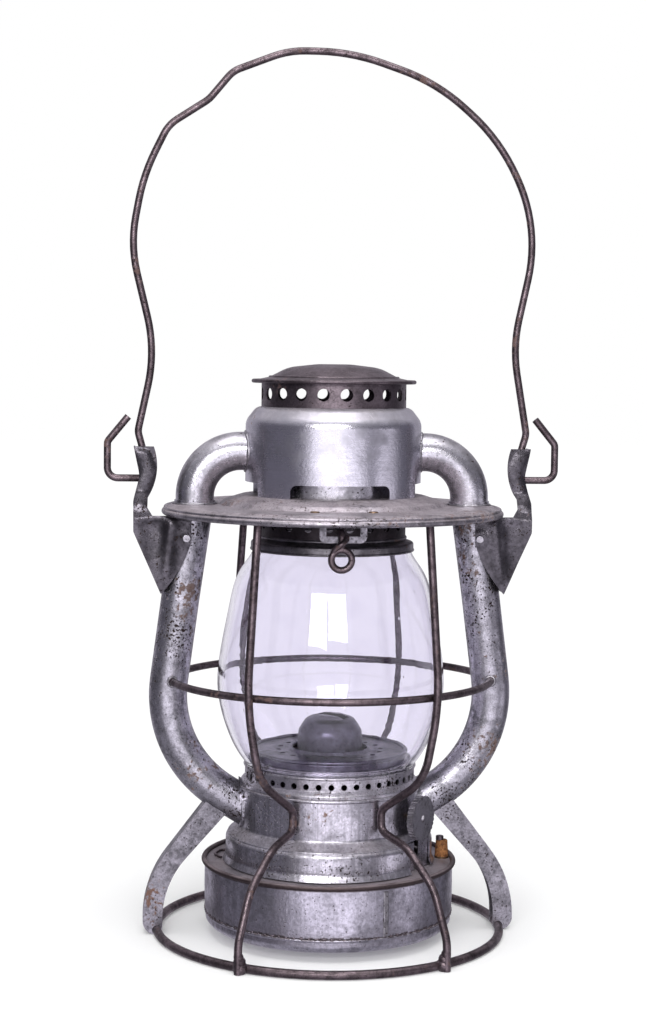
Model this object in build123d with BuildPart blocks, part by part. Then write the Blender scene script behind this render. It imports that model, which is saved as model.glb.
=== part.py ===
from build123d import *

import math
import os

# Tubular hand lantern with a wire guard, in millimetres.
# Origin: on the floor under the lantern's upright axis. +Z is up, -Y is the front,
# and the two side tubes stand at -X (left) and +X (right).

# ---------------------------------------------------------------- driving dimensions
SHEET = 0.8                      # tinned steel sheet
THIN_SHEET = 0.6                 # burner sheet
BAIL_WIRE_RADIUS = 1.75
GUARD_WIRE_RADIUS = 1.9
HOOP_WIRE_RADIUS = 1.8
RING_WIRE_RADIUS = 2.1

BASE_RING_RADIUS = 84.0
BASE_RING_HEIGHT = 2.2

FOUNT_RADIUS = 60.6
FOUNT_FLOOR = 5.0
FOUNT_TOP_HEIGHT = 35.4
BURNER_COLLAR_RADIUS = 13.7
BURNER_COLLAR_HEIGHT = 38.2
FILLER_X = 56.0

WAIST_RADIUS = 43.4
WAIST_TOP = 72.5
BAND_RADIUS = 41.4
BAND_HOLES = 43
BAND_HOLE_RADIUS = 1.45
BAND_HOLE_HEIGHT = 79.0
LEDGE_HEIGHT = 83.2
DECK_HEIGHT = 89.6

TUBE_RADIUS = 9.25
TUBE_WALL = 0.7
TUBE_TOP_X = 66.8
TUBE_KNEE = (83.4, 88.2)         # x and height where the tube turns in towards the waist
TUBE_ENTRY = (36.0, 58.6)        # x and height of its end inside the air chamber
PLATE_UNDERSIDE = 209.0
PLATE_TERRACE = PLATE_UNDERSIDE + SHEET

PLATE_RIM_RADIUS = 81.3
PLATE_RIM_HEIGHT = 206.3
PLATE_ROLL_RADIUS = 1.5
FLUE_RADIUS = 34.3
FLUE_FOOT = 212.2

CANOPY_RADIUS = 42.5
CANOPY_FOOT = PLATE_TERRACE + 4.7
CANOPY_ROOF = 256.6
CANOPY_OPENING_TOP = 221.0
CANOPY_WINDOW_WIDTH = 46.8
ELBOW_HEIGHT = 235.4

COLLAR_RADIUS = 35.0
COLLAR_HOLES = 20
COLLAR_HOLE_RADIUS = 2.95
COLLAR_HOLE_HEIGHT = 263.2
COLLAR_TOP = 270.1
CAP_TOP = 277.2

PIVOT_HEIGHT = 222.0
PIVOT_HOLE_RADIUS = BAIL_WIRE_RADIUS + 0.08

GUARD_AZIMUTH = 35.0             # at the plate
FOOT_AZIMUTH = 33.0              # at the base ring
HOOP_HEIGHT = 124.5
HOOP_REACH = 71.2

KNOB_AZIMUTH = 53.0
KNOB_RADIUS = 10.75
KNOB_FACE = 50.7
KNOB_BACK = 47.5
SPINDLE_HEIGHT = 61.0
SPINDLE_OFFSET = 4.0
SPINDLE_RADIUS = 1.2
BAY_DEPTH = 46.9                 # distance from the axis to the flat bay behind the knob
WICK_WIDTH = 16.0
WICK_THICKNESS = 1.6

LEG_WIDTH = 11.0

STRAP_FRONT = -53.2
LIFT_ARM_HEIGHT = 200.6
LIFT_WIRE_RADIUS = 1.6
EYE_RADIUS = 4.7
EYE_X = -0.9
EYE_Y = STRAP_FRONT - LIFT_WIRE_RADIUS - 0.3
EYE_HEIGHT = 187.9


os.makedirs("parts", exist_ok=True)


# ---------------------------------------------------------------- helpers
def write(piece, name):
    """Label a finished piece that has no block of its own, and write it."""
    piece.label = name
    export_step(piece, f"parts/{name}.step")


def around(radius, azimuth, height):
    """Point at a radius from the axis; azimuth in degrees from the front towards +X."""
    angle = math.radians(azimuth)
    return (radius * math.sin(angle), -radius * math.cos(angle), height)


def bent_rod(points, bends, radius, bore=0.0):
    """Round rod or tube along straight runs joined by bends of the given radii."""
    with BuildPart() as rod:
        with BuildLine() as path:
            FilletPolyline(*points, radius=bends)
        with BuildSketch(Plane(origin=path.wire() @ 0, z_dir=path.wire() % 0)):
            Circle(radius)
            if bore:
                Circle(bore, mode=Mode.SUBTRACT)
        sweep(path=path.wire())
    return rod.part


def spun_sheet(points, bends, thickness=SHEET, rolls=()):
    """Round sheet piece from its section line, given as (radius, height) points.

    Each roll is a rolled bead on the section: (radius, height, bead radius).
    """
    with BuildPart() as shell:
        with BuildSketch(Plane.XZ):
            with BuildLine() as section:
                FilletPolyline(*points, radius=bends)
            trace(section.wire(), line_width=thickness)
            for roll_x, roll_z, roll_radius in rolls:
                with Locations((roll_x, roll_z)):
                    Circle(roll_radius)
        revolve(axis=Axis.Z)
    return shell.part


def solid_cylinder(radius, low, high):
    """Upright solid cylinder on the axis, used to trim pieces that meet it."""
    with BuildPart() as core:
        with BuildSketch(Plane.XY.offset(low)):
            Circle(radius)
        extrude(amount=high - low)
    return core.part


def radial_holes(wall_radius, height, hole_radius, count, start=0.0):
    """Ring of holes through an upright round wall, cut from the open part."""
    with Locations((0, 0, height)):
        with PolarLocations(wall_radius - 2, count, start_angle=start):
            Cylinder(
                hole_radius,
                4,
                rotation=(0, 90, 0),
                align=(Align.CENTER, Align.CENTER, Align.MIN),
                mode=Mode.SUBTRACT,
            )


# The wick, its tube and the wick raiser share one plane: local x points at the knob.
knob_direction = around(1.0, KNOB_AZIMUTH, 0.0)
wick_plane = Plane(origin=(0, 0, 0), x_dir=knob_direction, z_dir=(0, 0, 1))
spindle_plane = Plane(
    origin=wick_plane.from_local_coords((0, SPINDLE_OFFSET, SPINDLE_HEIGHT)),
    x_dir=(0, 0, 1),
    z_dir=knob_direction,
)

# ---------------------------------------------------------------- side tubes and elbows
knee = (TUBE_KNEE[0], 0, TUBE_KNEE[1])
entry = (TUBE_ENTRY[0], 0, TUBE_ENTRY[1])
tube_path = [(66.4, 0, 214.0), (73.2, 0, 166.0), knee, entry]
tube_bends = [150.0, 57.0]
tube_core_right = bent_rod(tube_path, tube_bends, TUBE_RADIUS)
tube_core_left = mirror(tube_core_right, about=Plane.YZ)
tube_slope = (Vector(*knee) - Vector(*entry)).normalized()
tube_entry_right = Plane(origin=entry, z_dir=tube_slope)
tube_entry_left = Plane(origin=(-TUBE_ENTRY[0], 0, TUBE_ENTRY[1]), z_dir=(-tube_slope.X, 0, tube_slope.Z))

with BuildPart() as side_tube_right:
    add(bent_rod(tube_path, tube_bends, TUBE_RADIUS, bore=TUBE_RADIUS - TUBE_WALL))
    add(solid_cylinder(WAIST_RADIUS, 20, 100), mode=Mode.SUBTRACT)
    split(bisect_by=Plane.XY.offset(PLATE_UNDERSIDE), keep=Keep.BOTTOM)
side_tube_right.part.label = "side_tube_right"
export_step(side_tube_right.part, "parts/side_tube_right.step")
write(mirror(side_tube_right.part, about=Plane.YZ), "side_tube_left")

# what a tube fills outside the waist, used to trim the air chamber round it
with BuildPart() as tube_plug_right:
    add(tube_core_right)
    add(solid_cylinder(WAIST_RADIUS, 20, 100), mode=Mode.SUBTRACT)
tube_plug_left = mirror(tube_plug_right.part, about=Plane.YZ)

with BuildPart() as tube_collar_right:
    with BuildSketch(tube_entry_right):
        Circle(TUBE_RADIUS + 1.5)
        Circle(TUBE_RADIUS, mode=Mode.SUBTRACT)
    extrude(amount=30)
    add(solid_cylinder(WAIST_RADIUS + 1.1, 20, 100), mode=Mode.INTERSECT)
    add(solid_cylinder(WAIST_RADIUS, 20, 100), mode=Mode.SUBTRACT)
tube_collar_right.part.label = "tube_collar_right"
export_step(tube_collar_right.part, "parts/tube_collar_right.step")
write(mirror(tube_collar_right.part, about=Plane.YZ), "tube_collar_left")

with BuildPart() as elbow_right:
    add(
        bent_rod(
            [(40, 0, ELBOW_HEIGHT), (TUBE_TOP_X, 0, ELBOW_HEIGHT), (TUBE_TOP_X, 0, PLATE_TERRACE)],
            22.0,
            TUBE_RADIUS,
            bore=TUBE_RADIUS - TUBE_WALL,
        )
    )
    with BuildSketch(Plane.XY.offset(PLATE_TERRACE)):
        with Locations((TUBE_TOP_X, 0)):
            Circle(TUBE_RADIUS + 0.6)
            Circle(TUBE_RADIUS - 0.3, mode=Mode.SUBTRACT)
    extrude(amount=2.0)
    add(solid_cylinder(CANOPY_RADIUS, 220, 250), mode=Mode.SUBTRACT)
elbow_right.part.label = "elbow_right"
export_step(elbow_right.part, "parts/elbow_right.step")
write(mirror(elbow_right.part, about=Plane.YZ), "elbow_left")

# ---------------------------------------------------------------- wire guard
with BuildPart() as base_ring:
    with BuildSketch(Plane.XZ):
        with Locations((BASE_RING_RADIUS, BASE_RING_HEIGHT)):
            Circle(RING_WIRE_RADIUS)
    revolve(axis=Axis.Z)
base_ring.part.label = "base_ring"
export_step(base_ring.part, "parts/base_ring.step")

# radius, azimuth and height of the corners of an upright guard wire
wire_foot_radius = BASE_RING_RADIUS + RING_WIRE_RADIUS + GUARD_WIRE_RADIUS + 0.05
guard_corners = [
    (68.5, GUARD_AZIMUTH, PLATE_UNDERSIDE + 1.5),
    (77.2, GUARD_AZIMUTH, 122.0),
    (71.5, 32.3, 86.0),
    (WAIST_RADIUS + GUARD_WIRE_RADIUS + 0.15, 27.3, 68.3),
    (WAIST_RADIUS + GUARD_WIRE_RADIUS + 0.15, 27.3, 58.3),
    (64.0, 29.5, 53.4),
    (80.0, 32.0, 37.0),
    (wire_foot_radius, FOOT_AZIMUTH, 14.0),
    (wire_foot_radius, FOOT_AZIMUTH, 0.3),
]
guard_bends = [120.0, 25.0, 6.0, 5.0, 20.0, 25.0, 20.0]

with BuildPart() as guard_wire:
    add(bent_rod([around(*corner) for corner in guard_corners], guard_bends, GUARD_WIRE_RADIUS))
    # weld blob on the ring, drawn up along the wire
    for lean, height, blob_radius in ((2.0, 2.7, 3.5), (2.6, 5.6, 2.9), (3.6, 8.2, 2.3)):
        with Locations(around(BASE_RING_RADIUS + lean, FOOT_AZIMUTH, height)):
            Sphere(blob_radius)
    split(bisect_by=Plane.XY, keep=Keep.TOP)
    split(bisect_by=Plane.XY.offset(PLATE_UNDERSIDE), keep=Keep.BOTTOM)
    add(base_ring.part, mode=Mode.SUBTRACT)
write(guard_wire.part, "guard_wire_front_right")
write(mirror(guard_wire.part, about=Plane.YZ), "guard_wire_front_left")
write(mirror(guard_wire.part, about=Plane.XZ), "guard_wire_rear_right")
write(mirror(mirror(guard_wire.part, about=Plane.YZ), about=Plane.XZ), "guard_wire_rear_left")

with BuildPart() as guard_hoop_front:
    with BuildLine() as hoop_path:
        ThreePointArc((-78, -4.7, HOOP_HEIGHT), (0, -HOOP_REACH, HOOP_HEIGHT), (78, -4.7, HOOP_HEIGHT))
    with BuildSketch(Plane(origin=hoop_path.wire() @ 0, z_dir=hoop_path.wire() % 0)):
        Circle(HOOP_WIRE_RADIUS)
    sweep(path=hoop_path.wire())
    add(tube_core_right, mode=Mode.SUBTRACT)
    add(tube_core_left, mode=Mode.SUBTRACT)
guard_hoop_front.part.label = "guard_hoop_front"
export_step(guard_hoop_front.part, "parts/guard_hoop_front.step")
write(mirror(guard_hoop_front.part, about=Plane.XZ), "guard_hoop_rear")


# ---------------------------------------------------------------- legs
def leg_side(skin, mouth):
    """Side outline of a leg, its outer edge moved in by skin and its inner edge by mouth."""
    with BuildSketch(Plane.XZ) as side:
        with BuildLine():
            FilletPolyline(
                (57.9 - 0.8 * skin, 68.8 - 0.6 * skin),
                (90.8 - skin, 25.5 - 0.3 * skin),
                (90.8 - skin, skin),
                (81.3 - mouth, skin),
                (81.3 - mouth, 24.8),
                (49.5 - mouth, 60.7 - 0.6 * skin),
                radius=[0, 55.0, 6.6 - skin, 2.6 - skin, 45.0, 0],
                close=True,
            )
        make_face()
    return side.sketch


with BuildPart() as leg_right:
    extrude(leg_side(0, 0), amount=LEG_WIDTH / 2, both=True)
    extrude(leg_side(SHEET, 5), amount=LEG_WIDTH / 2 - SHEET, both=True, mode=Mode.SUBTRACT)
    add(tube_core_right, mode=Mode.SUBTRACT)
    # hole through both cheeks for the base ring
    with BuildSketch(Plane.XZ):
        with Locations((BASE_RING_RADIUS - 0.1, BASE_RING_HEIGHT)):
            Circle(RING_WIRE_RADIUS + 0.2)
    extrude(amount=LEG_WIDTH, both=True, mode=Mode.SUBTRACT)
leg_right.part.label = "leg_right"
export_step(leg_right.part, "parts/leg_right.step")
write(mirror(leg_right.part, about=Plane.YZ), "leg_left")

# ---------------------------------------------------------------- guard plate
with BuildPart() as guard_plate:
    add(
        spun_sheet(
            [
                (FLUE_RADIUS, CANOPY_FOOT - SHEET / 2),
                (44.6, CANOPY_FOOT - SHEET / 2),
                (52.6, PLATE_TERRACE + 1.8),
                (54.6, PLATE_TERRACE - SHEET / 2),
                (77.2, PLATE_TERRACE - SHEET / 2),
                (PLATE_RIM_RADIUS - 1.0, 207.9),
                (PLATE_RIM_RADIUS - 1.0, PLATE_RIM_HEIGHT),
            ],
            [2.0, 2.0, 0.8, 2.0, 1.0],
            rolls=[
                (PLATE_RIM_RADIUS, PLATE_RIM_HEIGHT, PLATE_ROLL_RADIUS),
                (PLATE_RIM_RADIUS - 0.4, PLATE_RIM_HEIGHT + 1.9, 0.9),
            ],
        )
    )
    with Locations((TUBE_TOP_X, 0, PLATE_TERRACE), (-TUBE_TOP_X, 0, PLATE_TERRACE)):
        Cylinder(TUBE_RADIUS - 1.2, 6, mode=Mode.SUBTRACT)
    with Locations((13.5, -55.9, PLATE_TERRACE), (-13.5, -55.9, PLATE_TERRACE)):
        Cylinder(1.2, 6, mode=Mode.SUBTRACT)
guard_plate.part.label = "guard_plate"
export_step(guard_plate.part, "parts/guard_plate.step")

with BuildPart() as lift_strap:
    # face of the strap: a square-cornered U with rounded outer corners
    with BuildSketch(Plane.XZ.offset(-STRAP_FRONT)):
        with BuildLine():
            FilletPolyline(
                (-11.0, PLATE_UNDERSIDE),
                (-11.0, 195.5),
                (11.0, 195.5),
                (11.0, PLATE_UNDERSIDE),
                radius=3.0,
            )
            Line((11.0, PLATE_UNDERSIDE), (-11.0, PLATE_UNDERSIDE))
        make_face()
        with Locations((0, 205.6)):
            Rectangle(15.8, 14.0, mode=Mode.SUBTRACT)
    extrude(amount=-SHEET)
    # feet turned forward under the plate
    with BuildSketch(Plane.XY.offset(PLATE_UNDERSIDE - SHEET)):
        with Locations((13.0, STRAP_FRONT - 2.3), (-13.0, STRAP_FRONT - 2.3)):
            Rectangle(7.0, 6.2)
        with Locations((13.5, -55.9), (-13.5, -55.9)):
            Circle(1.2, mode=Mode.SUBTRACT)
    extrude(amount=SHEET)
lift_strap.part.label = "lift_strap"
export_step(lift_strap.part, "parts/lift_strap.step")

with BuildPart() as strap_rivets:
    with Locations((13.5, -55.9, PLATE_UNDERSIDE - SHEET), (-13.5, -55.9, PLATE_UNDERSIDE - SHEET)):
        Cylinder(1.2, 2 * SHEET, align=(Align.CENTER, Align.CENTER, Align.MIN))
        Cylinder(2.0, 0.7, align=(Align.CENTER, Align.CENTER, Align.MAX))
    with Locations((13.5, -55.9, PLATE_TERRACE), (-13.5, -55.9, PLATE_TERRACE)):
        Cylinder(2.2, 0.6, align=(Align.CENTER, Align.CENTER, Align.MIN))
    fillet(strap_rivets.faces().sort_by(Axis.Z)[-2:].edges(), 0.4)
strap_rivets.part.label = "strap_rivets"
export_step(strap_rivets.part, "parts/strap_rivets.step")


# ---------------------------------------------------------------- bail ears
EAR_FACE = -9.8                  # middle of the wing sheet, just in front of the tube
with BuildPart() as ear_web:
    with BuildSketch(Plane.XZ):
        with BuildLine() as web_line:
            FilletPolyline(
                (95.9, 237.4),
                (92.9, 223.0),
                (96.0, 211.0),
                (95.9, 197.0),
                (82.9, 167.6),
                radius=[12.0, 12.0, 4.0],
            )
        trace(web_line.wire(), line_width=SHEET)
    extrude(amount=12, both=True)
    # front and back edges of the web, seen from the side
    with BuildSketch(Plane.YZ.offset(60)):
        with BuildLine():
            Polyline(
                (-4.0, 238),
                (-4.0, 216),
                (-10.2, 203),
                (-10.2, 160),
                (10.2, 160),
                (10.2, 195),
                (4.5, 201),
                (4.5, 238),
                close=True,
            )
        make_face()
    extrude(amount=50, mode=Mode.INTERSECT)

with BuildPart() as ear_right:
    # front sheet: bent back above the wing, then trimmed to its outline
    with BuildSketch(Plane.YZ.offset(60)):
        with BuildLine() as flange_line:
            FilletPolyline((-3.6, 240), (-3.6, 216), (EAR_FACE, 203), (EAR_FACE, 160), radius=4.0)
        trace(flange_line.wire(), line_width=SHEET)
    extrude(amount=40)
    with BuildSketch(Plane.XZ):
        with BuildLine():
            Polyline((96.3, 237.4), (93.3, 223.0), (96.4, 211.0), (96.3, 197.0), (83.0, 167.0))
            ThreePointArc((83.0, 167.0), (73.4, 180.5), (68.6, 192.0))
            Polyline((68.6, 192.0), (68.6, 204.5), (87.2, 204.5), (89.6, 208.2), (89.4, 213.0))
            ThreePointArc((89.4, 213.0), (85.1, 225.5), (86.6, 237.4))
            Line((86.6, 237.4), (96.3, 237.4))
        make_face()
    extrude(amount=12, mode=Mode.INTERSECT, both=True)
    add(ear_web.part)
    # wing folded flat against the back of the tube
    with BuildSketch(Plane.XZ.offset(-9.4)):
        with BuildLine():
            Polyline((95.6, 196.0), (68.6, 196.0), (68.6, 192.0))
            ThreePointArc((68.6, 192.0), (73.4, 180.5), (83.0, 167.0))
            Line((83.0, 167.0), (95.6, 196.0))
        make_face()
    extrude(amount=-SHEET)
    add(tube_core_right, mode=Mode.SUBTRACT)
    with Locations((95.0, 0, PIVOT_HEIGHT)):
        Cylinder(PIVOT_HOLE_RADIUS, 12, rotation=(0, 90, 0), mode=Mode.SUBTRACT)
    with Locations((70.8, EAR_FACE, 193.8)):
        Cylinder(1.2, 4, rotation=(90, 0, 0), mode=Mode.SUBTRACT)
ear_right.part.label = "ear_right"
export_step(ear_right.part, "parts/ear_right.step")
write(mirror(ear_right.part, about=Plane.YZ), "ear_left")

with BuildPart() as ear_rivets:
    with Locations((70.8, EAR_FACE - SHEET / 2, 193.8), (-70.8, EAR_FACE - SHEET / 2, 193.8)):
        Cylinder(1.2, 0.9, rotation=(90, 0, 0), align=(Align.CENTER, Align.CENTER, Align.MAX))
    with Locations((70.8, EAR_FACE - SHEET / 2, 193.8), (-70.8, EAR_FACE - SHEET / 2, 193.8)):
        Cylinder(2.1, 0.9, rotation=(90, 0, 0), align=(Align.CENTER, Align.CENTER, Align.MIN))
    fillet(ear_rivets.faces().sort_by(Axis.Y)[:2].edges(), 0.6)
ear_rivets.part.label = "ear_rivets"
export_step(ear_rivets.part, "parts/ear_rivets.step")

# ---------------------------------------------------------------- canopy, flue and cap
with BuildPart() as canopy:
    add(
        spun_sheet(
            [
                (CANOPY_RADIUS - SHEET / 2, CANOPY_FOOT),
                (CANOPY_RADIUS - SHEET / 2, 250.0),
                (37.0, CANOPY_ROOF),
                (31.5, CANOPY_ROOF),
            ],
            [7.0, 4.5],
        )
    )
    # windows front and back, and the sides cut up short
    opening_height = CANOPY_OPENING_TOP - CANOPY_FOOT
    with BuildSketch(Plane.XZ):
        with Locations((0, CANOPY_OPENING_TOP)):
            RectangleRounded(CANOPY_WINDOW_WIDTH, 2 * opening_height, 3.0, align=(Align.CENTER, Align.MAX))
    extrude(amount=2 * CANOPY_RADIUS, both=True, mode=Mode.SUBTRACT)
    side_cut = CANOPY_RADIUS * math.sin(math.radians(62))
    for side in (-1, 1):
        with Locations((side * (side_cut + 10), 0, CANOPY_OPENING_TOP)):
            Box(
                20,
                3 * CANOPY_RADIUS,
                2 * opening_height,
                align=(Align.CENTER, Align.CENTER, Align.MAX),
                mode=Mode.SUBTRACT,
            )
    with Locations((0, 0, ELBOW_HEIGHT)):
        Cylinder(TUBE_RADIUS - 0.8, 3 * CANOPY_RADIUS, rotation=(0, 90, 0), mode=Mode.SUBTRACT)
canopy.part.label = "canopy"
export_step(canopy.part, "parts/canopy.step")

with BuildPart() as flue:
    with BuildSketch(Plane.XY.offset(FLUE_FOOT)):
        Circle(FLUE_RADIUS)
        Circle(FLUE_RADIUS - SHEET, mode=Mode.SUBTRACT)
    extrude(amount=CANOPY_ROOF - SHEET / 2 - FLUE_FOOT)
flue.part.label = "flue"
export_step(flue.part, "parts/flue.step")

with BuildPart() as cap:
    add(
        spun_sheet(
            [
                (39.2, 269.2),
                (31.0, 270.9),
                (22.0, CAP_TOP - 1.6),
                (8.0, CAP_TOP),
                (0.0, CAP_TOP),
            ],
            [12.0, 20.0, 40.0],
            rolls=[(38.9, 269.3, 0.95), (31.0, 271.3, 0.6), (11.0, CAP_TOP - 0.45, 0.5)],
        )
    )
cap.part.label = "cap"
export_step(cap.part, "parts/cap.step")

with BuildPart() as cap_collar:
    with BuildSketch(Plane.XY.offset(CANOPY_ROOF + SHEET / 2)):
        Circle(COLLAR_RADIUS)
        Circle(COLLAR_RADIUS - SHEET, mode=Mode.SUBTRACT)
    extrude(amount=COLLAR_TOP - CANOPY_ROOF - SHEET / 2)
    radial_holes(COLLAR_RADIUS, COLLAR_HOLE_HEIGHT, COLLAR_HOLE_RADIUS, COLLAR_HOLES, start=-94.5 + 9)
    add(cap.part, mode=Mode.SUBTRACT)
cap_collar.part.label = "cap_collar"
export_step(cap_collar.part, "parts/cap_collar.step")

# ---------------------------------------------------------------- air chamber and gallery
# flat bay in the shoulder, so that the knob can drop past it with the fount
with BuildPart(wick_plane) as knob_bay:
    with Locations((BAY_DEPTH, SPINDLE_OFFSET, 35.0)):
        Box(15, 2 * KNOB_RADIUS + 1.6, 16.5, align=(Align.MIN, Align.CENTER, Align.MIN))

with BuildPart(wick_plane) as bay_wall:
    with Locations((BAY_DEPTH, SPINDLE_OFFSET, 35.8)):
        Box(SHEET, 2 * KNOB_RADIUS + 1.2, 13.6, align=(Align.MAX, Align.CENTER, Align.MIN))
    add(solid_cylinder(50.4, 30, 60), mode=Mode.INTERSECT)

# slot that lets the spindle leave downwards with the fount
with BuildPart(wick_plane) as spindle_slot:
    with Locations((36.0, SPINDLE_OFFSET, 30.0)):
        Box(
            14,
            2 * SPINDLE_RADIUS + 2.0,
            SPINDLE_HEIGHT + SPINDLE_RADIUS + 1.0 - 30.0,
            align=(Align.MIN, Align.CENTER, Align.MIN),
        )

with BuildPart() as air_chamber:
    add(
        spun_sheet(
            [
                (51.4, 36.0),
                (50.1, 39.0),
                (50.1, 48.4),
                (WAIST_RADIUS - SHEET / 2, 53.0),
                (WAIST_RADIUS - SHEET / 2, WAIST_TOP),
            ],
            [2.5, 3.0, 2.5],
            rolls=[(WAIST_RADIUS, WAIST_TOP, 0.9), (48.9, 49.3, 0.7)],
        )
    )
    with BuildSketch(tube_entry_right):
        Circle(TUBE_RADIUS - 1.0)
    extrude(amount=20, mode=Mode.SUBTRACT)
    with BuildSketch(tube_entry_left):
        Circle(TUBE_RADIUS - 1.0)
    extrude(amount=20, mode=Mode.SUBTRACT)
    for trimmed_away in (
        tube_plug_right.part,
        tube_plug_left,
        tube_collar_right.part,
        mirror(tube_collar_right.part, about=Plane.YZ),
        knob_bay.part,
    ):
        add(trimmed_away, mode=Mode.SUBTRACT)
    add(bay_wall.part)
    add(spindle_slot.part, mode=Mode.SUBTRACT)
    # notch over the fount catch
    with Locations((-48.5, 17.2, 35.5)):
        Box(8, 4, 2.6, align=(Align.CENTER, Align.CENTER, Align.MIN), mode=Mode.SUBTRACT)
air_chamber.part.label = "air_chamber"
export_step(air_chamber.part, "parts/air_chamber.step")

with BuildPart() as gallery_band:
    add(
        spun_sheet(
            [
                (WAIST_RADIUS - SHEET / 2, WAIST_TOP + 1.0),
                (WAIST_RADIUS - SHEET / 2, 75.0),
                (BAND_RADIUS - SHEET / 2, 76.8),
                (BAND_RADIUS - SHEET / 2, LEDGE_HEIGHT),
                (38.0, LEDGE_HEIGHT),
                (38.0, 86.4),
            ],
            [0.8, 0.8, 0.5, 0.5],
            rolls=[(BAND_RADIUS, LEDGE_HEIGHT - 0.3, 0.7)],
        )
    )
    radial_holes(BAND_RADIUS, BAND_HOLE_HEIGHT, BAND_HOLE_RADIUS, BAND_HOLES, start=-90 + 180 / BAND_HOLES)
gallery_band.part.label = "gallery_band"
export_step(gallery_band.part, "parts/gallery_band.step")

with BuildPart() as burner_deck:
    add(
        spun_sheet(
            [(18.6, DECK_HEIGHT + 1.8), (20.0, DECK_HEIGHT), (37.2, DECK_HEIGHT), (37.2, LEDGE_HEIGHT + 0.8)],
            [1.5, 1.0],
            rolls=[(37.2, DECK_HEIGHT + 0.6, 0.9)],
        )
    )
    with PolarLocations(25.0, 18):
        Cylinder(1.4, 200, mode=Mode.SUBTRACT)
burner_deck.part.label = "burner_deck"
export_step(burner_deck.part, "parts/burner_deck.step")

# ---------------------------------------------------------------- globe
GLASS = 2.2
with BuildPart() as globe:
    with BuildSketch(Plane.XZ):
        with BuildLine() as globe_line:
            Spline(
                (36.8, 190.6),
                (37.4, 187.2),
                (43.2, 177.8),
                (48.8, 159.6),
                (53.6, 132.0),
                (54.1, 122.0),
                (52.4, 110.4),
                (49.0, 99.6),
                (44.8, 90.8),
                (40.6, 85.0),
            )
        trace(globe_line.wire(), line_width=GLASS)
        with Locations((40.35, LEDGE_HEIGHT + SHEET / 2 + 1.2)):
            Rectangle(3.0, 2.4)
    revolve(axis=Axis.Z)
globe.part.label = "globe"
export_step(globe.part, "parts/globe.step")

# ---------------------------------------------------------------- globe-top dome, lifts as one
with BuildPart() as dome_ring:
    add(
        spun_sheet(
            [(35.1, 195.2), (35.1, 204.2), (32.9, 204.6), (32.9, 222.0)],
            [0.6, 0.6],
        )
    )
    radial_holes(35.5, LIFT_ARM_HEIGHT, 2.1, 22, start=-90 + 180 / 22)
dome_ring.part.label = "dome_ring"
export_step(dome_ring.part, "parts/dome_ring.step")

with BuildPart() as globe_seat:
    add(
        spun_sheet(
            [(35.1, 195.2), (35.1, 193.0), (39.1, 191.7), (39.1, 187.9)],
            [1.0, 0.9],
            rolls=[(35.3, 194.3, 0.9), (39.3, 188.3, 0.6)],
        )
    )
globe_seat.part.label = "globe_seat"
export_step(globe_seat.part, "parts/globe_seat.step")

with BuildPart() as lift_eye:
    add(
        bent_rod(
            [
                (EYE_X, -30, LIFT_ARM_HEIGHT),
                (EYE_X, EYE_Y, LIFT_ARM_HEIGHT),
                (EYE_X, EYE_Y, EYE_HEIGHT + EYE_RADIUS),
            ],
            2.2,
            LIFT_WIRE_RADIUS,
        )
    )
    add(solid_cylinder(35.5, 180, 210), mode=Mode.SUBTRACT)
    with Locations((EYE_X, EYE_Y, EYE_HEIGHT)):
        Torus(EYE_RADIUS, LIFT_WIRE_RADIUS, rotation=(90, 0, 0))
lift_eye.part.label = "lift_eye"
export_step(lift_eye.part, "parts/lift_eye.step")

# ---------------------------------------------------------------- fount
with BuildPart() as fount_wall:
    add(
        spun_sheet(
            [(60.2, 35.4), (FOUNT_RADIUS - 0.2, 22.0), (60.1, 12.0)],
            [300.0],
            rolls=[(61.0, 35.9, 1.25)],
        )
    )
fount_wall.part.label = "fount_wall"
export_step(fount_wall.part, "parts/fount_wall.step")

with BuildPart() as fount_bottom:
    add(
        spun_sheet(
            [(0, FOUNT_FLOOR), (57.4, FOUNT_FLOOR), (59.7, FOUNT_FLOOR + 2.4), (59.7, FOUNT_FLOOR + 6.2)],
            [2.0, 1.5],
            rolls=[(59.9, FOUNT_FLOOR + 5.8, 0.8)],
        )
    )
fount_bottom.part.label = "fount_bottom"
export_step(fount_bottom.part, "parts/fount_bottom.step")

with BuildPart() as fount_top:
    with BuildSketch(Plane.XY.offset(FOUNT_TOP_HEIGHT - SHEET)):
        Circle(59.8)
        Circle(BURNER_COLLAR_RADIUS, mode=Mode.SUBTRACT)
        with Locations((FILLER_X, 0)):
            Circle(2.9, mode=Mode.SUBTRACT)
    extrude(amount=SHEET)
    with BuildSketch(Plane.XY.offset(FOUNT_TOP_HEIGHT)):
        Circle(BURNER_COLLAR_RADIUS + 1.4)
        Circle(BURNER_COLLAR_RADIUS, mode=Mode.SUBTRACT)
    extrude(amount=BURNER_COLLAR_HEIGHT - FOUNT_TOP_HEIGHT)
    add(fount_wall.part, mode=Mode.SUBTRACT)
fount_top.part.label = "fount_top"
export_step(fount_top.part, "parts/fount_top.step")

with BuildPart() as filler_neck:
    with BuildSketch(Plane.XY.offset(33.4)):
        with Locations((FILLER_X, 0)):
            Circle(2.9)
            Circle(2.3, mode=Mode.SUBTRACT)
    extrude(amount=36.3 - 33.4)
    with BuildSketch(Plane.XY.offset(FOUNT_TOP_HEIGHT)):
        with Locations((FILLER_X, 0)):
            Circle(3.5)
            Circle(2.3, mode=Mode.SUBTRACT)
    extrude(amount=0.9)
filler_neck.part.label = "filler_neck"
export_step(filler_neck.part, "parts/filler_neck.step")

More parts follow.
